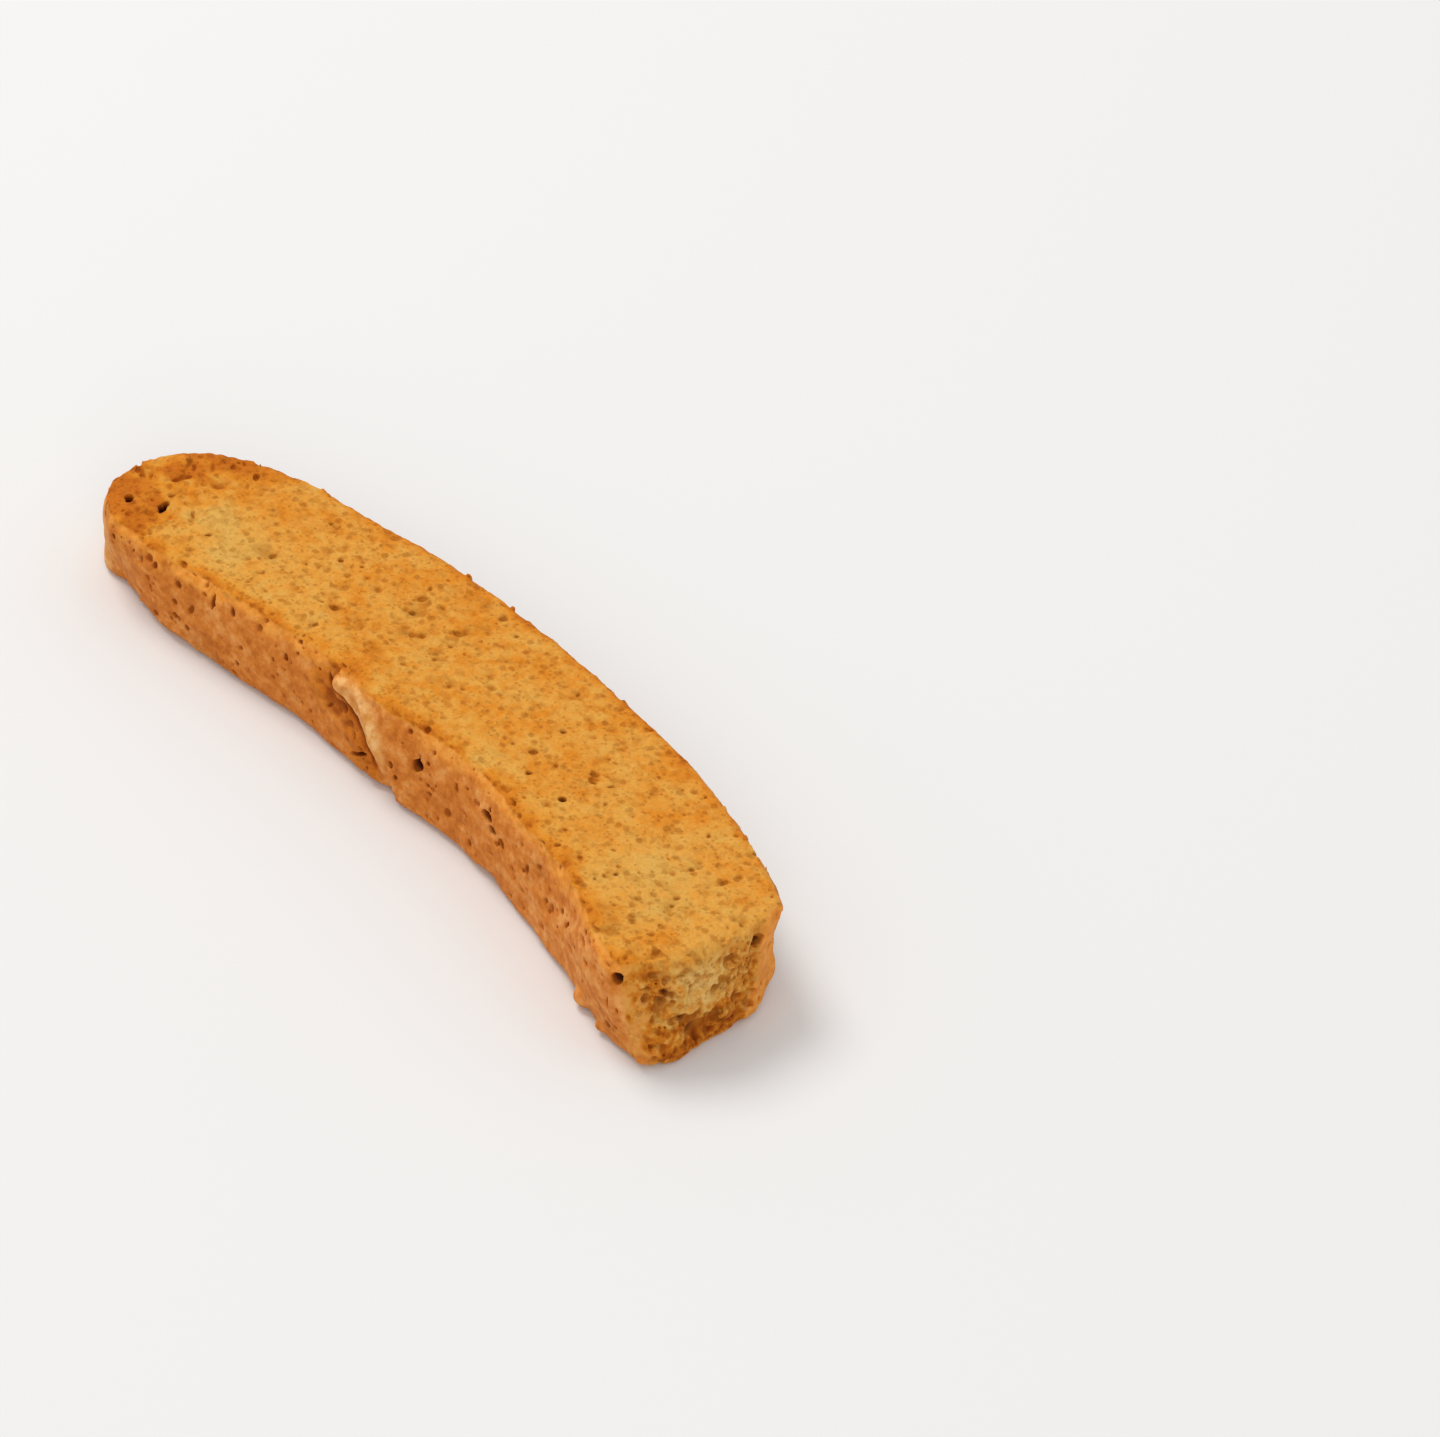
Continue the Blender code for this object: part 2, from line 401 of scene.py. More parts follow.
def beside_fold(x, z):
    """Distances of those lengths and heights from the fold's middle, its half width and what lies below."""
    nearest = np.full(np.broadcast(x, z).shape, np.inf)
    width = np.ones_like(nearest)
    below = np.zeros_like(nearest, bool)
    for index, (start, end) in enumerate(zip(FOLD, FOLD[1:])):
        run_x, run_z = end[0] - start[0], end[1] - start[1]
        share = ((x - start[0]) * run_x + (z - start[1]) * run_z) / (run_x**2 + run_z**2)
        clipped = np.clip(share, 0, 1)
        off_x = x - start[0] - clipped * run_x
        off_z = z - start[1] - clipped * run_z
        gap = np.hypot(off_x, off_z)
        closer = gap < nearest
        nearest = np.where(closer, gap, nearest)
        width = np.where(closer, start[2] + clipped * (end[2] - start[2]), width)
        under = (run_x * off_z < run_z * off_x) | ((share < 0) & (index == 0))
        below = np.where(closer, under, below)
    return nearest, width, below


class Slice:
    """The CAD slice's fields on one block."""

    def __init__(self, block):
        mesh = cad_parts[NODE].data
        points = np.empty(len(mesh.vertices) * 3, np.float32)
        mesh.vertices.foreach_get("co", points)
        self.points = points.reshape(-1, 3) * PER_M
        mesh.calc_loop_triangles()
        corners = np.empty(len(mesh.loop_triangles) * 3, np.int32)
        mesh.loop_triangles.foreach_get("vertices", corners)
        self.triangles = corners.reshape(-1, 3)
        self.block = block
        self.find_upper_face()
        self.skin = block.distances(self.points, triangles=self.triangles)
        middle = self.points[:, 2].mean()
        tall = self.points.copy()
        tall[:, 2] = middle + (tall[:, 2] - middle) * WALL_STRETCH
        self.wall = block.distances(tall, triangles=self.triangles)
        self.cut = np.maximum(block.z - self.top_at(block.x), -block.z) + np.zeros_like(self.skin)
        self.find_lip()
        self.find_base()

    def find_lip(self):
        """Marks the strip of dome crust that laps round onto the torn end, and the furrow beside it."""
        block = self.block
        along, across = DOME_CORNER
        from_dome = across + DOME_WIDENS * (along - block.x) - block.y
        past_lip = from_dome - LIP_TOP - (LIP_FOOT - LIP_TOP) * (1 - block.z / self.top_at(block.x))
        past_lip = past_lip + LIP_RAGGED * block.lumps("ragged")
        self.lip = ease(LIP_SOFT, -LIP_SOFT, past_lip)
        self.beside_lip = groove(past_lip, *LIP_FURROW)

    def find_base(self):
        """The skin with its edges rounded, more so where they broke, before it is worn and pitted."""
        x, y, z = self.block.x, self.block.y, self.block.z
        corner = ease(*CORNER_BROKEN, x) * (1 - ease(*CORNER_ACROSS, y))
        side = ease(*SIDE_FROM, x) * ease(*SIDE_ACROSS, y) * ease(*SIDE_TO, x)
        broken = np.maximum(corner, SIDE_BROKEN * side) * ease(*BROKEN_ABOVE, z)
        raised = ease(0, FOOT_HEIGHT, z)
        leaning = HEEL_TOP * ease(*HEEL_TOP_ABOVE, z) - HEEL_FOOT * ease(*HEEL_FOOT_BELOW, z)
        proud = (SWELL + ease(*HEEL, x) * leaning) * raised - FOOT_LIFT * (1 - raised)
        self.base = self.rounded(RIM_ROUND) * (1 - broken) + self.rounded(BROKEN_ROUND) * broken - proud

    def find_torn(self, rough):
        """Marks torn crumb: it is on the wall that faces the end, beside the strip of dome crust."""
        slope = np.gradient(self.wall, self.block.step, axis=0)
        torn = ease(*TORN_STEEP, slope + 0.35 * rough)
        return torn * ease(*TORN_ALONG, self.block.x) * (1 - self.lip)

    def find_upper_face(self):
        """Fits the plane of the upper cut face, height = rise * x + level."""
        corners = self.points[self.triangles]
        across = np.cross(corners[:, 1] - corners[:, 0], corners[:, 2] - corners[:, 0])
        area = np.linalg.norm(across, axis=1)
        self.normals = across / np.maximum(area, 1e-9)[:, None]
        self.areas = area / 2
        upper = corners[(self.normals[:, 2] > LEVEL) & (area > 0)].reshape(-1, 3)
        self.rise, self.level = np.polyfit(upper[:, 0], upper[:, 2], 1)

    def top_at(self, x):
        return np.asarray(self.level + self.rise * x, np.float32)

    def rounded(self, radius):
        """Distance to the slice with its edges rounded: its core, grown back by the radius."""
        points, quads = self.block.surface(self.skin, -radius)
        return self.block.distances(points, REACH + radius, quads=quads) - radius

    def wall_places(self, rng, per_mm2):
        """Random places on the walls with their outward directions."""
        steep = np.abs(self.normals[:, 2]) < MOST_SLOPE
        areas = np.where(steep, self.areas, 0)
        count = int(areas.sum() * per_mm2)
        picked = rng.choice(len(areas), count, p=areas / areas.sum())
        a, b = rng.random(count), rng.random(count)
        fold = a + b > 1
        a, b = np.where(fold, 1 - a, a)[:, None], np.where(fold, 1 - b, b)[:, None]
        corners = self.points[self.triangles[picked]]
        places = corners[:, 0] + a * (corners[:, 1] - corners[:, 0]) + b * (corners[:, 2] - corners[:, 0])
        return places, self.normals[picked]

    def near_wall_at(self, along, height):
        """The place on the base crust at that length and height."""
        across = self.block.axes[1]
        places = np.stack([np.full_like(across, along), across, np.full_like(across, height)], 1)
        inside = across[self.block.sample(self.base, places) < 0]
        return np.array([along, inside.min(), height])

    def end_at(self, across, height):
        """The place on the torn end at that breadth and height."""
        along = self.block.axes[0]
        places = np.stack([along, np.full_like(along, across), np.full_like(along, height)], 1)
        inside = along[self.block.sample(self.base, places) < 0]
        return np.array([inside.max(), across, height])


def add_relief(part, rough, torn):
    """Wears the edges, then ripples each kind of surface: cut crumb, smooth crust and torn crumb."""
    block = part.block
    middling, small = block.lumps("middling"), block.lumps("small")
    lumps = (block.lumps("wide"), middling, small, rough)
    crust = ease(-0.4, 0.4, part.wall - part.cut + 0.35 * small + 0.3 * rough)
    cut = 1 - crust
    closed = crust * (1 - torn)
    from_edge = part.wall**2 + part.cut**2
    ragged = RAGGED + RAGGED_MORE * ease(*RAGGED_ALONG, block.x)
    chips = np.clip(block.lumps("chips") - CHIP_RARE, 0, 1)
    worn = part.base + np.exp(-from_edge / RAGGED_REACH**2) * ragged * np.clip(rough + small + 0.4, 0, 2)
    worn += np.exp(-from_edge / CHIP_REACH**2) * chips * CHIP_DEPTH
    worn += crust * torn * (TORN_SINK + FURROW_DEPTH * part.beside_lip)
    part.worn = worn
    field = worn - cut * lumpy(CUT_LUMPS, lumps)
    field -= closed * lumpy(CRUST_LUMPS, lumps)
    field -= crust * torn * lumpy(TORN_LUMPS, lumps)
    # Where the loaf's side met its base the crumb is denser and wrinkled.
    wrinkled = cut * ease(*WRINKLED, block.x)
    field += wrinkled * WRINKLE_RELIEF * (0.28 - np.abs(0.4 * middling + 0.8 * small))
    field -= ease(*LIP_FROM, block.x) * part.lip * crust * LIP_PROUD
    return field, crust


def add_fold(part, field, rough):
    """A pale band of dough that lies proud of the base crust, with cracks and crumpled crust under it."""
    block = part.block
    near_side = block.axes[1] < 0
    x, z = block.axes[0][:, None], block.axes[2][None, :]
    gap, width, below = beside_fold(x, z)
    beyond = gap - width
    band = FOLD_PROUD * np.clip(1.1 - (gap / width) ** 2, 0, 1) * ease(1, 6, z)
    band *= ease(0.3, 2.0, part.top_at(x) - z)
    crack = groove(beyond, *CRACK) * below * ease(2, 6, z)
    crack *= 1 - 0.5 * ease(-11, -14, x)
    crack += groove(beyond, *SECOND_CRACK) * below * ease(6, 8, z) * ease(12.5, 11, z)
    recess = RECESS * below * ease(CRUMPLED, 0, beyond) * ease(-0.2, 0.4, beyond)
    brow = groove(beyond, *BROW) * ~below
    crumple = (below * ease(CRUMPLED, 2, beyond) * ease(0, 0.8, beyond)).astype(np.float32)
    height = (band - crack - recess + brow).astype(np.float32)[:, None, :]
    height = height + crumple[:, None, :] * CRUMPLE_RELIEF * rough[:, near_side]
    field[:, near_side] -= height * ease(-0.9, 0.3, part.wall - part.cut)[:, near_side]


def open_cut_faces(part, field, rough, rng):
    """Cells and pores that the knife opened on both cut faces."""
    block = part.block
    low, high = part.points.min(0), part.points.max(0)
    area = (high[0] - low[0]) * (high[1] - low[1])
    crowds = block.lumps("crowds")
    for per_mm2, least, greatest, shallow, deep, stretch in CUT_CELLS:
        for upper in (True, False):
            count = int(area * per_mm2)
            x = rng.uniform(low[0], high[0], count)
            y = rng.uniform(low[1], high[1], count)
            face = block.ceiling(field, x, y) if upper else np.full(count, FOOT_LIFT)
            places = np.stack([x, y, face], 1)
            radii = least + (greatest - least) * rng.random(count) ** 2
            depths = shallow + (deep - shallow) * rng.random(count) ** 1.5
            stretches = rng.uniform(1, stretch, count) ** 0.5
            leans = rng.uniform(0, math.pi, count)
            chance = rng.random(count)
            keep = block.sample(part.wall, places) < -CELLS_CLEAR
            keep &= chance < CELLS_KEPT + CROWDING * block.sample(crowds, places)
            for place, radius, depth, longer, lean in zip(
                places[keep], radii[keep], depths[keep], stretches[keep], leans[keep]
            ):
                sizes = (radius * longer, radius / longer, depth)
                uneven = CELLS_UNEVEN * min(radius, depth)
                hollow(block, field, rough, place, sizes, facing(UP, lean), uneven)


def crease_rounded_end(part, field, rough, rng):
    """Short creases and pits where the loaf's side met its base, and the crumb is denser."""
    low, high = part.points.min(0), part.points.max(0)
    x = low[0] + 1 + WRINKLE_SPREAD * rng.random(WRINKLES) ** 1.3
    y = rng.uniform(low[1] * 0.75, high[1] * 0.75, WRINKLES)
    z = part.block.ceiling(field, x, y)
    places = np.stack([x, y, z], 1)
    keep = part.block.sample(part.wall, places) < -0.5
    for hole_x, hole_y, *_ in TOP_HOLES:
        keep &= np.hypot(x - hole_x, y - hole_y) > WRINKLE_CLEAR
    for place in places[keep]:
        sizes = [rng.uniform(*span) for span in WRINKLE_SIZES]
        hollow(part.block, field, rough, place, sizes, facing(UP, rng.uniform(0, math.pi)), 0.2)


def add_clinging_crumbs(part, field, rough, rng):
    """Crumbs that the knife left clinging to the edges of the cut faces."""
    places, normals = part.wall_places(rng, CRUMBS_PER_MM2)
    for place, normal in zip(places, normals):
        radius = rare(rng, *CRUMB_RADIUS)
        squash = rng.uniform(0.7, 1.9, 2)
        chance = rng.random()
        top = float(part.top_at(place[0]))
        edge = min(place[2], top - place[2])
        likely = 0.4 - 0.15 * edge if place[2] > 3 else 0.1
        if edge > 2.2 or chance > likely or place[2] < 1:
            continue
        depth = part.block.sample(part.worn, place[None])[0]
        centre = place - normal * (depth + 0.25 * radius)
        sizes = (radius * squash[0], radius * squash[1], radius)
        bead(part.block, field, rough, centre, sizes, facing(normal), 0.12, 0.2)


def open_torn_end(part, field, rough, rng):
    """Torn cells, side by side, on the end where the slice broke off."""
    places, normals = part.wall_places(rng, TORN_CELLS_PER_MM2)
    on_lip = part.block.sample(part.lip, places) > 0.4
    for place, normal, smooth in zip(places, normals, on_lip):
        radius = rare(rng, *TORN_CELL_RADIUS)
        longer = rng.uniform(0.75, 1.3)
        lean = rng.uniform(0, math.pi)
        if normal[0] < ENDWARD or place[0] < END_FROM or place[1] < TORN_CORNER_CLEAR or smooth:
            continue
        centre = place + normal * (0.3 * radius - 0.35)
        sizes = (radius * longer, radius / longer, radius)
        hollow(part.block, field, rough, centre, sizes, facing(normal, lean), 0.3, 0.12)


def open_crust(part, field, rough, rng):
    """Small pits that steam left in the crust, longer ones on the dome and fewer near the torn end."""
    places, normals = part.wall_places(rng, PITS_PER_MM2)
    gap, width, _ = beside_fold(places[:, 0], places[:, 2])
    on_fold = (places[:, 1] < 0) & (gap < width + 0.8)
    for place, normal, folded in zip(places, normals, on_fold):
        radius = rare(rng, *PIT_RADIUS)
        tall = rare(rng, *PIT_STRETCH)
        lean = rng.normal(0, 0.5)
        sink = rng.uniform(0.35, 1.5)
        keep = rng.random()
        domed = normal[1] > 0
        at_end = normal[0] > ENDWARD and place[0] > END_FROM
        if at_end and part.block.sample(part.lip, place[None])[0] < 0.9:
            continue
        if folded or keep > (PIT_SHARE if domed or place[0] <= 0 else PIT_SHARE_NEAR_END):
            continue
        sizes = (radius, radius * (tall if domed else 1 + 0.3 * (tall - 1)), radius * sink)
        hollow(part.block, field, rough, place - normal * 0.05, sizes, facing(normal, lean), 0.4 * radius)


def add_named_holes(part, field, rough):
    """The larger holes of the upper face, the base crust and the torn end."""
    block = part.block
    for x, y, radius, depth in TOP_HOLES:
        place = (x, y, block.ceiling(field, x, y)[0])
        hollow(block, field, rough, place, (radius, radius, depth), facing(UP), 0.06)
    for x, z, half_width, half_height, depth, lean in CRUST_HOLES:
        sizes = (half_width, half_height, depth)
        hollow(block, field, rough, part.near_wall_at(x, z), sizes, facing(NEAR, lean), 0.07)
    for y, z, radius, depth in TORN_HOLES:
        hollow(block, field, rough, part.end_at(y, z), (radius, radius, depth), facing(END), 0.15)
    for x, z, radius in FOOT_BEADS:
        place = part.near_wall_at(x, z) + (0, 0.45 * radius, 0)
        bead(block, field, rough, place, (radius, radius, radius * 0.9), facing(NEAR))


def mesh_of_field(block, field):
    """The closed skin of the field as a mesh in metres."""
    points, quads = block.surface(field)
    mesh = bpy.data.meshes.new("rusk_slice")
    mesh.vertices.add(len(points))
    mesh.vertices.foreach_set("co", (points * MM).astype(np.float32).ravel())
    mesh.loops.add(len(quads) * 4)
    mesh.polygons.add(len(quads))
    mesh.loops.foreach_set("vertex_index", quads[:, ::-1].astype(np.int32).ravel())
    mesh.polygons.foreach_set("loop_start", np.arange(0, len(quads) * 4, 4, dtype=np.int32))
    mesh.update(calc_edges=True)
    mesh.validate()
    return mesh


def keep_largest_body(mesh):
    """Drops crumbs that the hollows cut loose."""
    shape = bmesh.new()
    shape.from_mesh(mesh)
    left = set(shape.verts)
    bodies = []
    while left:
        body = {left.pop()}
        edge = list(body)
        while edge:
            vert = edge.pop()
            for link in vert.link_edges:
                other = link.other_vert(vert)
                if other in left:
                    left.remove(other)
                    body.add(other)
                    edge.append(other)
        bodies.append(body)
    bodies.sort(key=len)
    loose = [vert for body in bodies[:-1] for vert in body]
    bmesh.ops.delete(shape, geom=loose, context="VERTS")
    shape.to_mesh(mesh)
    shape.free()


def fewer_triangles(piece, most):
    """Merges the mesh's flatter triangles until it has at most that many."""
    count = sum(len(face.vertices) - 2 for face in piece.data.polygons)
    if count > most:
        merge = piece.modifiers.new("fewer triangles", "DECIMATE")
        merge.ratio = most / count
        merge.use_collapse_triangulate = True
        bpy.context.view_layer.update()
        evaluated = piece.evaluated_get(bpy.context.evaluated_depsgraph_get())
        mesh = bpy.data.meshes.new_from_object(evaluated)
        piece.modifiers.clear()
        piece.data = mesh


# What toasting browned, as shares from 0 to 1
RIM_TOAST = 0.68
RIM_TOAST_REACH = 2.4
ROUNDED_END = (-54, -70)  # along the slice
ROUNDED_END_TOAST = 0.52
TORN_FOOT_TOAST = 0.8
TORN_CORNER_TOAST = 0.35
CRUMPLED_TOAST = 0.9
BRIM_REACH = 2.3  # height of the crust's bright upper band
BRIM_GAP = (2.4, -1.0, 5.0)  # how far it draws back beside the fold: depth, middle and half width
BRIM_ABOVE = (6, 10)
PALE_TOP_SHARE = 0.8
FOLD_FADES = (3.5, 9.5)  # heights over which the fold gets its own colour
PALE_HEEL = 0.65


def blobs(places, centres):
    """How near each place is to any of the centres: x, y and radius."""
    total = np.zeros(len(places))
    for x, y, radius in centres:
        total += np.exp(-((places[:, 0] - x) ** 2 + (places[:, 1] - y) ** 2) / radius**2)
    return np.clip(total, 0, 1)


class Surface:
    """The finished mesh's vertices, in millimetres, and what kind of surface each lies on."""

    def __init__(self, part, piece, crust, torn):
        block = part.block
        places = np.empty(len(piece.data.vertices) * 3, np.float32)
        piece.data.vertices.foreach_get("co", places)
        self.places = places.reshape(-1, 3) * PER_M
        self.x, self.y, self.z = self.places.T
        self.from_wall = -block.sample(part.wall, self.places)
        self.from_cut = -block.sample(part.cut, self.places)
        self.from_skin = -block.sample(part.worn, self.places)
        self.from_top = part.top_at(self.x) - self.z
        self.crust = block.sample(crust, self.places)
        self.torn = block.sample(torn, self.places) * self.crust
        self.lip = block.sample(part.lip, self.places) * self.crust
        self.blotch = block.sample(block.lumps("blotches"), self.places)
        self.speck = block.sample(block.lumps("specks"), self.places)
        self.near_side = self.y < 0
        self.fold_gap, self.fold_width, self.below_fold = beside_fold(self.x, self.z)


def toast_of(at):
    """How brown it is: rims, the rounded end, the torn end's foot and corner, and crumpled crust."""
    rim = np.exp(-np.maximum(at.from_wall - 0.5, 0) / RIM_TOAST_REACH) * (1 - at.crust)
    rim *= 1 - 0.85 * ease(67, 71, at.x)
    rim *= np.clip(0.85 + 0.45 * at.blotch + 0.4 * at.speck, 0.2, 1.2)
    rounded_end = ease(*ROUNDED_END, at.x)
    toast = RIM_TOAST * rim + rounded_end * (ROUNDED_END_TOAST + 0.4 * at.blotch + 0.35 * at.speck)
    toast += TORN_FOOT_TOAST * at.torn * ease(12, 1, at.z)
    toast += TORN_CORNER_TOAST * at.torn * ease(-12, -18, at.y) * ease(8, 14, at.z)
    beyond = at.fold_gap - at.fold_width
    crumpled = at.below_fold * at.near_side * ease(CRUMPLED, 2, beyond) * ease(0, 0.5, beyond)
    return toast + CRUMPLED_TOAST * crumpled * at.crust


def brim_of(at):
    """The bright band along the crust's upper edge, and the strip of dome crust on the torn end."""
    reach = BRIM_REACH + 1.1 * at.blotch + 0.5 * at.speck - groove(at.x, *BRIM_GAP)
    brim = ease(reach + 1.1, reach - 0.7, at.from_cut) * at.crust * (1 - 0.8 * at.torn)
    brim *= ease(*BRIM_ABOVE, at.z)
    brim *= 1 - 0.75 * ease(-2, 6, at.y)
    inward = DOME_CORNER[0] - 2.1 * (1 - at.z / 19) - at.x
    return np.maximum(brim, at.lip * ease(2.6, 1.2, inward))


def pale_of(at):
    """What browned least: patches of the upper face, the torn end's middle and the crust beside it."""
    pale = PALE_TOP_SHARE * blobs(at.places, PALE_TOP) * (at.z > 8) * (1 - at.crust)
    y, z, radius = PALE_END
    pale += at.torn * np.exp(-((at.y - y) ** 2 + (at.z - z) ** 2) / radius**2)
    return pale + at.crust * (1 - at.torn) * ease(20, 60, at.x)


def fold_of(at):
    """The pale fold of dough, crisp below and soft above, and the pale foot of the rounded end."""
    share = at.fold_gap / at.fold_width
    fold = np.where(at.below_fold, ease(1.15, 0.9, share), ease(1.35, 0.75, share))
    fold *= 0.75 + 0.25 * ease(-14, -8, at.x)
    fold *= at.near_side * ease(0.6, 1.4, at.from_cut) * ease(*FOLD_FADES, at.z)
    fold *= 0.85 + 0.3 * at.speck
    heel = ease(4, -6, at.y) * at.crust * ease(-66, -71, at.x) * ease(15, 11, at.z)
    return fold + PALE_HEEL * heel


def paint(part, piece, crust, torn):
    """Stores on each vertex the depth and the shares from 0 to 1 that the material reads."""
    at = Surface(part, piece, crust, torn)
    closed = at.crust * (1 - at.torn)
    stored = {
        # depth under the uncut skin, less on the torn end; the material darkens by it as painted shade
        "depth": np.clip(at.from_skin - 0.25 * at.torn, 0, REACH),
        "crust": closed,
        "toast": np.clip(toast_of(at), 0, 1),
        "torn": at.torn * ease(0.3, 3.0, at.from_top),
        "brim": np.clip(brim_of(at), 0, 1),
        "pale": np.clip(pale_of(at), 0, 1),
        "fold": np.clip(fold_of(at), 0, 1),
        "domed": closed * ease(-2, 6, at.y),
    }
    for name, values in stored.items():
        layer = piece.data.attributes.new(name, "FLOAT", "POINT")
        layer.data.foreach_set("value", values.astype(np.float32))


# Materials

CRUMB_STOPS = (0.0, 0.28, 0.62, 1.0)  # how browned each colour of the crumb is
CRUST_STOPS = (0.32, 0.5, 0.7)  # where the base crust's colours lie on its blotches
TORN_CRUMB = [
    (0.0, linear("E3B66A")),
    (0.35, linear("DDA14B")),
    (0.58, linear("CE7D20")),
    (0.9, linear("A9520B")),
]
DOME_CRUST = [(0.33, linear("8F4C14")), (0.5, linear("B36A22")), (0.7, linear("CC8838"))]
BRIM_COLOURS = (linear("DA842C"), linear("E99B43"))  # the crust's bright upper band
FOLD_COLOURS = (linear("D8944A"), linear("EAB879"))
# Painted shade: near-black brown for the bottoms of deep holes and pits, where light hardly reaches.
PAINTED_HOLE_SHADE = linear("45180A")
# Widths of its patterns, in millimetres
PATCH = 7.0  # browned where the slice lay nearer the heat
BLOTCH = 3.2  # of the crust
MOTTLE = 1.7  # walls between the larger cells, which brown first
SMUDGE = 1.5
PEEL = 1.2  # ripples of the crust
GRAIN = 0.5  # real grain is under 0.1 mm, so it is drawn coarser to show
FINE_GRAIN = 0.35
# Cells of 0.7 and 1.6 mm across, too shallow to model; on the crumb their darkening is partly painted
# shade: spacing, radius and how many of the places are taken
COARSE_CELLS = (2.1, 0.8, 0.6)
FINE_CELLS = (0.9, 0.36, 0.5)
CROOKED = 0.7  # how far the cells' outlines wander
CROOKED_WIDTH = 0.9
GRAIN_HEIGHT = 0.25 * MM
CRUMB_ROUGHNESS = 0.9
CRUST_ROUGHNESS = (0.6, 0.78)  # from its smoothest to its roughest blotches
STARCH_IOR = 1.45
CRUMB_SHINE = 0.12  # open, dry crumb hardly shines
CARD_ROUGHNESS = 0.9
CARD_SHINE = 0.2


def add_node(tree, kind, inputs=None, **settings):
    """Adds a node. Its inputs, by name or number, get values or the sockets they are linked from."""
    made = tree.nodes.new(kind)
    for name, value in settings.items():
        setattr(made, name, value)
    for socket, value in (inputs or {}).items():
        if isinstance(value, bpy.types.NodeSocket):
            tree.links.new(value, made.inputs[socket])
        else:
            made.inputs[socket].default_value = value
    return made


def new_material(name):
    material = bpy.data.materials.new(name)
    material.use_nodes = True
    tree = material.node_tree
    tree.nodes.clear()
    shader = add_node(tree, "ShaderNodeBsdfPrincipled")
    add_node(tree, "ShaderNodeOutputMaterial", {"Surface": shader.outputs["BSDF"]})
    return material, tree, shader


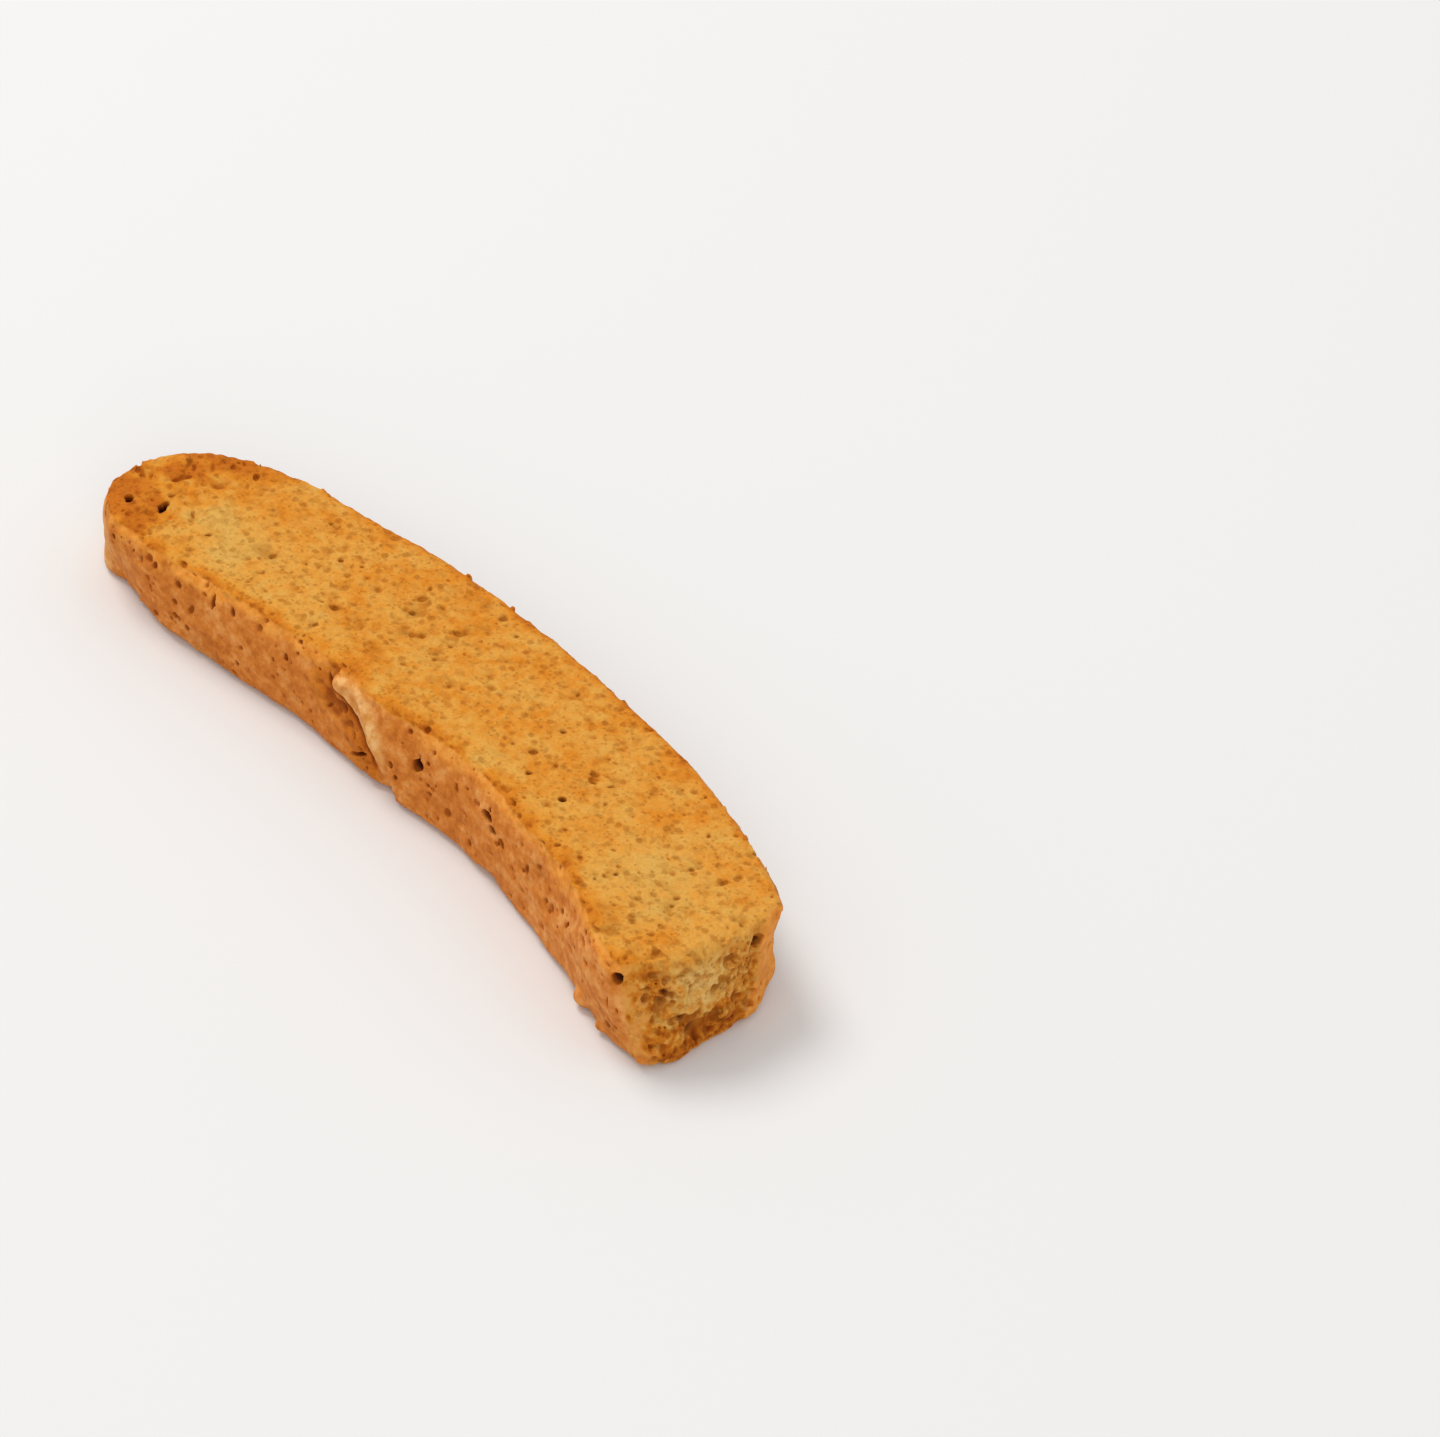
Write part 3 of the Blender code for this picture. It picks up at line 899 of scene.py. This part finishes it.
def twice_baked_dough(look):
    """Wheat rusk, baked as a loaf, sliced and toasted dry.

    The crumb is matt and scatters light in its open cells, so it shows golden with olive-brown pores;
    pores, cells and holes are also darkened by painted shade.
    Toasting browned what stood out: rims, ends and broad patches. The crust was pressed against the tin or
    open to the oven, so it is closed, a little smoother and tan.
    """
    material, tree, shader = new_material("twice-baked wheat dough")
    place = add_node(tree, "ShaderNodeTexCoord").outputs["Object"]
    mm = add_node(tree, "ShaderNodeVectorMath", {0: place, "Scale": PER_M}, operation="SCALE").outputs[0]

    def stored(name):
        return add_node(tree, "ShaderNodeAttribute", attribute_name=name).outputs["Fac"]

    def noise(width_mm, detail=2.0, rough=0.5, output="Fac"):
        inputs = {"Vector": mm, "Scale": 1 / width_mm, "Detail": detail, "Roughness": rough}
        return add_node(tree, "ShaderNodeTexNoise", inputs).outputs[output]

    def math_of(operation, a, b=0.0, c=0.0):
        return add_node(tree, "ShaderNodeMath", {0: a, 1: b, 2: c}, operation=operation).outputs[0]

    def remap(value, low, high, to_low=0.0, to_high=1.0):
        inputs = {"Value": value, "From Min": low, "From Max": high, "To Min": to_low, "To Max": to_high}
        return add_node(tree, "ShaderNodeMapRange", inputs, interpolation_type="SMOOTHSTEP").outputs[0]

    def blend(share, first, second, kind="MIX"):
        inputs = {"Factor": share, 6: first, 7: second}
        return add_node(tree, "ShaderNodeMix", inputs, data_type="RGBA", blend_type=kind).outputs[2]

    def ramp(value, stops):
        """Colours along a scale, as pairs of a place from 0 to 1 and a colour."""
        stops = list(stops)
        made = add_node(tree, "ShaderNodeValToRGB", {"Fac": value})
        points = made.color_ramp.elements
        while len(points) < len(stops):
            points.new(1.0)
        for point, (at, colour) in zip(points, stops):
            point.position = at
            point.color = colour
        return made.outputs["Color"]

    # Cells have crooked outlines, because the places they are looked up at are shifted.
    shift = noise(CROOKED_WIDTH, 1.0, 0.5, "Color")
    inputs = {0: shift, 1: (CROOKED,) * 3, 2: mm}
    crooked = add_node(tree, "ShaderNodeVectorMath", inputs, operation="MULTIPLY_ADD").outputs[0]

    def cells(width_mm, radius, share):
        """Round cells of that radius and spacing, in that share of their places."""
        inputs = {"Vector": crooked, "Scale": 1 / width_mm}
        found = add_node(tree, "ShaderNodeTexVoronoi", inputs, feature="F1")
        inside = remap(found.outputs["Distance"], radius / width_mm, 0.4 * radius / width_mm)
        lucky = remap(found.outputs["Color"], 1 - share, 1.05 - share)
        return math_of("MULTIPLY", inside, lucky)

    crust, depth, toast = stored("crust"), stored("depth"), stored("toast")
    pale, torn, fold, domed = stored("pale"), stored("torn"), stored("fold"), stored("domed")
    brim = stored("brim")

    patches = noise(PATCH)
    mottle = noise(MOTTLE, 3.0, 0.6)
    grain = noise(GRAIN, 2.0, 0.6)
    browning = math_of("ADD", toast, math_of("MULTIPLY_ADD", patches, 0.88, -0.2))
    browning = math_of("ADD", browning, math_of("MULTIPLY_ADD", mottle, 0.78, -0.38))
    browning = math_of("SUBTRACT", browning, math_of("MULTIPLY", pale, 0.35))
    crumb_colours = (look.crumb_pale, look.crumb_golden, look.crumb_toasted, look.crumb_browned)
    crumb = ramp(browning, zip(CRUMB_STOPS, crumb_colours))
    torn_value = math_of("MULTIPLY_ADD", mottle, 1.6, math_of("MULTIPLY_ADD", toast, 0.35, -0.3))
    torn_value = math_of("MULTIPLY_ADD", pale, -0.5, torn_value)
    torn_crumb = ramp(torn_value, TORN_CRUMB)
    crumb = blend(torn, crumb, torn_crumb)
    smudges = remap(noise(SMUDGE, 1.0), 0.5, 0.68)
    crumb = blend(math_of("MULTIPLY", smudges, 0.3), crumb, look.pore, "MULTIPLY")
    crumb = blend(0.3, crumb, remap(grain, 0.25, 0.75, 0.5, 1.0), "MULTIPLY")

    skin = noise(BLOTCH, 3.0, 0.6)
    skin_value = math_of("MULTIPLY_ADD", mottle, 0.5, math_of("MULTIPLY", skin, 0.5))
    skin_value = math_of("MULTIPLY_ADD", pale, 0.05, skin_value)
    base_crust = ramp(skin_value, zip(CRUST_STOPS, (look.crust_dark, look.crust_tan, look.crust_light)))
    dome_crust = ramp(skin_value, DOME_CRUST)
    crust_colour = blend(domed, base_crust, dome_crust)
    crust_colour = blend(math_of("MULTIPLY", remap(toast, 0.2, 0.7), 0.8), crust_colour, crumb)
    brim_colour = blend(remap(mottle, 0.35, 0.65), *BRIM_COLOURS)
    crust_colour = blend(brim, crust_colour, brim_colour)
    crust_colour = blend(0.15, crust_colour, remap(grain, 0.25, 0.75, 0.5, 1.0), "MULTIPLY")
    fold_colour = blend(remap(mottle, 0.35, 0.65), *FOLD_COLOURS)
    crust_colour = blend(fold, crust_colour, fold_colour)

    colour = blend(crust, crumb, crust_colour)
    # On the crumb the darkened cells stand for pores: their olive-brown tone with painted shade. On the
    # crust the cells are toasted spots.
    fine_cells = math_of("MULTIPLY", cells(*FINE_CELLS), 0.7)
    all_cells = math_of("MAXIMUM", cells(*COARSE_CELLS), fine_cells)
    closed_share = math_of("MULTIPLY_ADD", torn, 0.5, math_of("MULTIPLY_ADD", fold, 0.6, crust))
    open_share = remap(closed_share, 0.2, 1.0, 0.55, 0.3)
    colour = blend(math_of("MULTIPLY", all_cells, open_share), colour, look.pore, "MULTIPLY")
    # Painted shade, partly also a browner tone: the deeper a point lies under the uncut skin, the more its
    # pores, cracks and hollows are darkened by the pore tint.
    colour = blend(math_of("MULTIPLY", remap(depth, 0.15, 0.6), 0.85), colour, look.pore, "MULTIPLY")
    # Painted shade at the bottoms of deep holes and pits, from a little shallower depth on the crust.
    hole_shade_depth = math_of("MULTIPLY_ADD", crust, 0.1, depth)
    colour = blend(math_of("MULTIPLY", remap(hole_shade_depth, 0.65, 1.55), 0.95), colour, PAINTED_HOLE_SHADE)

    fine = noise(FINE_GRAIN, 3.0, 0.65)
    crumb_height = math_of("MULTIPLY_ADD", all_cells, -0.8, math_of("MULTIPLY", fine, 0.7))
    peel = noise(PEEL)
    crust_height = math_of("MULTIPLY_ADD", grain, 0.15, math_of("MULTIPLY", peel, 0.9))
    inputs = {"Factor": crust, 2: crumb_height, 3: crust_height}
    height = add_node(tree, "ShaderNodeMix", inputs, data_type="FLOAT").outputs[0]
    bump = add_node(tree, "ShaderNodeBump", {"Height": height, "Strength": 0.7, "Distance": GRAIN_HEIGHT})
    inputs = {"Factor": crust, 2: CRUMB_ROUGHNESS, 3: remap(mottle, 0.3, 0.7, *CRUST_ROUGHNESS)}
    roughness = add_node(tree, "ShaderNodeMix", inputs, data_type="FLOAT").outputs[0]
    tree.links.new(colour, shader.inputs["Base Color"])
    tree.links.new(roughness, shader.inputs["Roughness"])
    tree.links.new(bump.outputs["Normal"], shader.inputs["Normal"])
    shader.inputs["IOR"].default_value = STARCH_IOR
    shader.inputs["Specular IOR Level"].default_value = CRUMB_SHINE
    return material


def sweep_paper(stage):
    """Matt white card that the slice stands on, so that shadows stay soft and grey."""
    material, _, shader = new_material("matt white sweep card")
    shader.inputs["Base Color"].default_value = stage.floor_colour
    shader.inputs["Roughness"].default_value = CARD_ROUGHNESS
    shader.inputs["Specular IOR Level"].default_value = CARD_SHINE
    return material


# The stage

# The camera looks over the slice's near crust, beyond its middle, as one that took in a whole plate would.
VIEW_TARGET = Vector((32.97, 29.55, 18.19)) * MM
VIEW_DISTANCE = 0.9615
VIEW_AZIMUTH = math.radians(42.80)
VIEW_ELEVATION = math.radians(40.64)
VIEW_LEAN = math.radians(7.21)
LENS = 150.0
SENSOR = 36.0
FLOOR_SIZE = 12.0
KEY_PLACE = (-1.35, -0.1, 1.9)
KEY_SIZE = 1.1
KEY_COLOUR = (1.0, 0.985, 0.96)
FILL_PLACE = (1.5, -1.2, 1.0)
FILL_SIZE = 1.2
FILL_COLOUR = (1.0, 0.99, 0.98)


def add_light(name, place, size, power, colour):
    light = bpy.data.lights.new(name, "AREA")
    light.shape = "DISK"
    light.size = size
    light.energy = power
    light.color = colour
    lamp = bpy.data.objects.new(name, light)
    lamp.location = place
    lamp.rotation_euler = (-Vector(place)).to_track_quat("-Z", "Y").to_euler()
    bpy.context.scene.collection.objects.link(lamp)


def add_camera():
    camera = bpy.data.objects.new("camera", bpy.data.cameras.new("camera"))
    camera.data.lens = LENS
    camera.data.sensor_width = SENSOR
    camera.data.clip_start = 0.01
    level = math.cos(VIEW_ELEVATION)
    east, north = math.sin(VIEW_AZIMUTH) * level, -math.cos(VIEW_AZIMUTH) * level
    back = Vector((east, north, math.sin(VIEW_ELEVATION)))
    camera.location = VIEW_TARGET + back * VIEW_DISTANCE
    turn = (-back).to_track_quat("-Z", "Y").to_matrix() @ Matrix.Rotation(VIEW_LEAN, 3, "Z")
    camera.rotation_euler = turn.to_euler()
    bpy.context.scene.collection.objects.link(camera)
    bpy.context.scene.camera = camera


# The add-on


def colour_property(name, description, hex_colour):
    """A colour that a user can change, with its default."""
    return FloatVectorProperty(
        name=name, description=description, default=linear(hex_colour), size=4, subtype="COLOR"
    )


class RuskLook(bpy.types.PropertyGroup):
    triangles: IntProperty(
        name="Triangles", description="Most triangles in the slice", default=MOST_TRIANGLES, min=1000
    )
    crumb_pale: colour_property("Pale crumb", "Crumb that hardly browned", "DBA64F")
    crumb_golden: colour_property("Golden crumb", "Most of the cut face", "E09E42")
    crumb_toasted: colour_property("Toasted crumb", "Browned patches", "DB8826")
    crumb_browned: colour_property("Browned crumb", "Rims and ends", "C86F1A")
    # The pore tint darkens smudges with its tone, and darkens cells and hollows partly as painted shade.
    pore: colour_property("Pore tint", "What a pore's wall is darkened by", "C2A35C")
    crust_dark: colour_property("Dark crust", "Base crust at its darkest", "B05E18")
    crust_tan: colour_property("Tan crust", "Most of the base crust", "CF7A2D")
    crust_light: colour_property("Light crust", "Base crust at its lightest", "E6A25B")


class RuskStage(bpy.types.PropertyGroup):
    floor_colour: colour_property("Floor", "Colour of the floor", "E4E3E2")
    key_power: FloatProperty(
        name="Key light", description="Power of the large soft light", default=27.0, unit="POWER"
    )
    fill_power: FloatProperty(
        name="Fill light", description="Power of the weaker light", default=8.0, unit="POWER"
    )
    sky: FloatProperty(name="Surround", description="Brightness of the white surround", default=0.7, min=0)


class RUSK_OT_slice(bpy.types.Operator):
    """Models the slice with its pores, crust, crease and torn end"""

    bl_idname = "rusk.slice"
    bl_label = "Rusk Slice"

    def execute(self, context):
        look = context.scene.rusk_look
        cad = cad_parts[NODE]
        low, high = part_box(NODE)
        step = STEP
        block = Block(np.array(low) * PER_M, np.array(high) * PER_M, step)
        part = Slice(block)
        rng = np.random.default_rng(5)
        rough = block.lumps("fine")
        torn = part.find_torn(rough)
        field, crust = add_relief(part, rough, torn)
        add_clinging_crumbs(part, field, rough, rng)
        add_fold(part, field, rough)
        open_cut_faces(part, field, rough, rng)
        crease_rounded_end(part, field, rough, rng)
        open_torn_end(part, field, rough, rng)
        open_crust(part, field, rough, rng)
        add_named_holes(part, field, rough)
        field = np.maximum(field, -block.z)
        piece = bpy.data.objects.new("rusk_slice", mesh_of_field(block, field))
        context.scene.collection.objects.link(piece)
        fewer_triangles(piece, look.triangles)
        keep_largest_body(piece.data)
        paint(part, piece, crust, torn)
        piece.data.shade_smooth()
        piece.data.materials.append(twice_baked_dough(look))
        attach(piece, BODY)
        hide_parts(NODE)
        if not cad.hide_render or not piece.data.polygons:
            raise RuntimeError("the slice didn't replace its CAD node")
        return {"FINISHED"}


class RUSK_OT_stage(bpy.types.Operator):
    """Adds the pale floor, the soft studio light and the camera"""

    bl_idname = "rusk.stage"
    bl_label = "Stage"

    def execute(self, context):
        stage = context.scene.rusk_stage
        bpy.ops.mesh.primitive_plane_add(size=FLOOR_SIZE)
        floor = context.active_object
        floor.name = "floor"
        floor.data.materials.append(sweep_paper(stage))
        add_light("key softbox", KEY_PLACE, KEY_SIZE, stage.key_power, KEY_COLOUR)
        add_light("fill softbox", FILL_PLACE, FILL_SIZE, stage.fill_power, FILL_COLOUR)
        world = bpy.data.worlds.new("white surround")
        world.use_nodes = True
        world.node_tree.nodes["Background"].inputs["Color"].default_value = (1, 1, 1, 1)
        world.node_tree.nodes["Background"].inputs["Strength"].default_value = stage.sky
        context.scene.world = world
        context.scene.view_settings.view_transform = "Standard"
        add_camera()
        return {"FINISHED"}


class RUSK_PT_panel(bpy.types.Panel):
    """Lists the rusk's pieces and their settings"""

    bl_label = "Twice-baked rusk"
    bl_idname = "RUSK_PT_panel"
    bl_space_type = "VIEW_3D"
    bl_region_type = "UI"
    bl_category = "Rusk"

    def draw(self, context):
        for operator, settings in (("rusk.slice", "rusk_look"), ("rusk.stage", "rusk_stage")):
            box = self.layout.box()
            box.operator(operator)
            group = getattr(context.scene, settings)
            for name in group.bl_rna.properties.keys():
                if name not in ("rna_type", "name"):
                    box.prop(group, name)


CLASSES = (RuskLook, RuskStage, RUSK_OT_slice, RUSK_OT_stage, RUSK_PT_panel)


def register():
    for kind in CLASSES:
        bpy.utils.register_class(kind)
    bpy.types.Scene.rusk_look = PointerProperty(type=RuskLook)
    bpy.types.Scene.rusk_stage = PointerProperty(type=RuskStage)


def unregister():
    del bpy.types.Scene.rusk_stage
    del bpy.types.Scene.rusk_look
    for kind in reversed(CLASSES):
        bpy.utils.unregister_class(kind)


def main():
    register()
    bpy.ops.rusk.stage()
    bpy.ops.rusk.slice()


if __name__ == "__main__":
    main()
